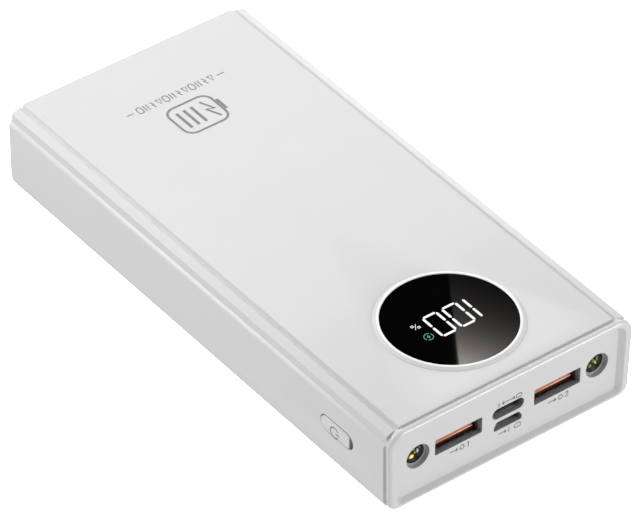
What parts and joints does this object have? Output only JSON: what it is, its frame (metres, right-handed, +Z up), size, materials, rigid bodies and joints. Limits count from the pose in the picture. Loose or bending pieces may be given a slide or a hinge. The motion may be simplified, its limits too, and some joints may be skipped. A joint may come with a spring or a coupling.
{
  "type": "power bank",
  "caption": "Flat white power bank with USB-A, Type-C and Micro-USB sockets, torch lamps, a round percentage display and a side power button.",
  "frame": {"origin": "bottom centre of the casing, on the surface that the power bank lies on", "axes": "+Z up through the display, -Y towards the ports, +X to the right when facing the ports"},
  "size_m": [0.07, 0.146, 0.0232],
  "materials": {
    "white_plastic": "satin moulded",
    "black_window": "polished",
    "lit_white": "lit light guide",
    "lit_green": "lit light guide",
    "dark_plastic": "moulded",
    "natural_plastic": "moulded",
    "orange_plastic": "moulded",
    "circuit_board": "solder mask",
    "plated_steel": "nickel plated",
    "brass_contact": "gold flashed",
    "flex_film": "film",
    "lamp_cup": "dark mirror",
    "lamp_epoxy": "clear epoxy with a phosphor chip",
    "pouch_foil": "laminated foil",
    "red_wire": "insulation",
    "black_wire": "insulation",
    "foam": "closed-cell foam",
    "capacitor_body": "fired"
  },
  "bodies": {
    "root": {"main_shell": "white_plastic", "bottom_cover": "white_plastic", "port_frame": "white_plastic", "display_ring": "white_plastic", "display_lens": "black_window", "display_digits": "lit_white", "display_icon": "lit_green", "display_module": "dark_plastic", "display_board": "circuit_board", "display_screws": "plated_steel", "display_ribbon": "flex_film", "switch_body": "dark_plastic", "switch_dome": "brass_contact", "main_board": "circuit_board", "board_screws": "plated_steel", "usb_a_shell_1": "plated_steel", "usb_a_tongue_1": "orange_plastic", "usb_a_contacts_1": "brass_contact", "usb_a_shell_2": "plated_steel", "usb_a_tongue_2": "orange_plastic", "usb_a_contacts_2": "brass_contact", "type_c_shell": "plated_steel", "type_c_tongue": "dark_plastic", "type_c_contacts": "brass_contact", "micro_usb_shell": "plated_steel", "micro_usb_tongue": "dark_plastic", "micro_usb_contacts": "brass_contact", "lamp_cup_1": "lamp_cup", "lamp_led_1": "lamp_epoxy", "lamp_leads_1": "plated_steel", "lamp_cup_2": "lamp_cup", "lamp_led_2": "lamp_epoxy", "lamp_leads_2": "plated_steel", "cell_lower": "pouch_foil", "cell_upper": "pouch_foil", "cell_tabs": "plated_steel", "protection_board": "circuit_board", "battery_lead_red": "red_wire", "battery_lead_black": "black_wire", "foam_pads": "foam", "inductors": "dark_plastic", "power_chips": "dark_plastic", "capacitors": "capacitor_body"},
    "button": {"power_button": "white_plastic"},
    "plunger": {"switch_plunger": "natural_plastic"}
  },
  "joints": [
    {"name": "button_press", "type": "slide", "parent": "root", "child": "button", "axis": [1, 0, 0], "range_m": [0, 0.0005], "stiffness_N_per_m": 2000},
    {"name": "plunger_press", "type": "slide", "parent": "root", "child": "plunger", "axis": [1, 0, 0], "range_m": [0, 0.0005]}
  ],
  "couplings": [
    {"joint": "plunger_press", "follows": "button_press", "ratio": 1}
  ]
}
